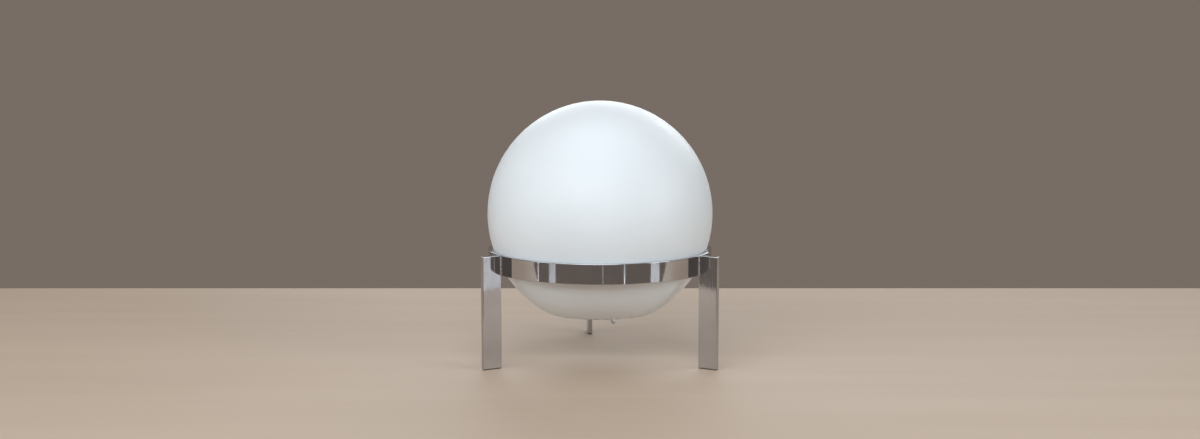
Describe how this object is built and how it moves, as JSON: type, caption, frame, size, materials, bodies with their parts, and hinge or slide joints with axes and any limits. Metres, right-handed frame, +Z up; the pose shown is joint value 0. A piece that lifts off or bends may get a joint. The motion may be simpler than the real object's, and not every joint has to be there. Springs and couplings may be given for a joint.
{
  "type": "table lamp",
  "caption": "Table lamp: an opal glass globe, cut off flat below, rests in a chromed flat-bar ring on flat radial legs, with a ball-ended toggle switch under the globe.",
  "frame": {"origin": "on the table, in the middle of the lamp's footprint box; the ring's axis stands 9.8 mm from it, towards -Y", "axes": "+Z up along the ring's axis, -Y towards the front of the lamp, +X to its right"},
  "size_m": [0.2352, 0.2492, 0.2642],
  "materials": {
    "opal_glass": "satin opal white, not see-through",
    "chrome": "polished, with fine scratches",
    "felt": "pressed felt",
    "rubber": "matt",
    "plated_steel": "bright zinc plated",
    "brass": "plain, slightly dull",
    "porcelain": "white glaze",
    "switch_plastic": "moulded",
    "gland_plastic": "moulded, matt",
    "lead_cover": "smooth insulation",
    "bulb_envelope": "clear",
    "cap_metal": "rolled, satin",
    "black_glass": "black, glossy",
    "filament_metal": "drawn wire"
  },
  "bodies": {
    "stand": {"ring_band": "chrome", "leg_left": "chrome", "leg_right": "chrome", "leg_back": "chrome", "leg_screws": "chrome", "foot_pads": "felt"},
    "globe": {"globe_glass": "opal_glass", "rim_gasket": "rubber", "bottom_plate": "plated_steel", "bridge_strap": "plated_steel", "strap_sleeves": "rubber", "nipple": "plated_steel", "nipple_nuts": "plated_steel", "plate_washer": "plated_steel", "holder_bracket": "plated_steel", "bracket_screws": "plated_steel", "lampholder_body": "porcelain", "lampholder_sleeve": "brass", "centre_contact": "brass", "holder_terminals": "brass", "terminal_screws": "plated_steel", "switch_body": "switch_plastic", "switch_bushing": "chrome", "switch_nut": "chrome", "switch_terminals": "brass", "pivot_pin": "chrome", "cord_gland": "gland_plastic", "gland_nut": "gland_plastic", "switch_lead": "lead_cover"},
    "bulb": {"bulb_glass": "bulb_envelope", "bulb_cap": "cap_metal", "bulb_insulator": "black_glass", "bulb_contact": "brass", "bulb_stem": "bulb_envelope", "bulb_supports": "filament_metal", "bulb_filament": "filament_metal"},
    "lever": {"switch_lever": "chrome"}
  },
  "joints": [
    {"name": "globe_lift", "type": "slide", "parent": "stand", "child": "globe", "axis": [0, 0, 1], "range_m": [0, 0.15]},
    {"name": "bulb_turn", "type": "hinge", "parent": "globe", "child": "bulb", "pos_m": [0, -0.0098, 0.1], "axis": [0, 0, 1], "range_deg": [0, 1080]},
    {"name": "lever_swing", "type": "hinge", "parent": "globe", "child": "lever", "pos_m": [0.00655, 0.0202, 0.042], "axis": [0, 1, 0], "range_deg": [0, 64]}
  ]
}
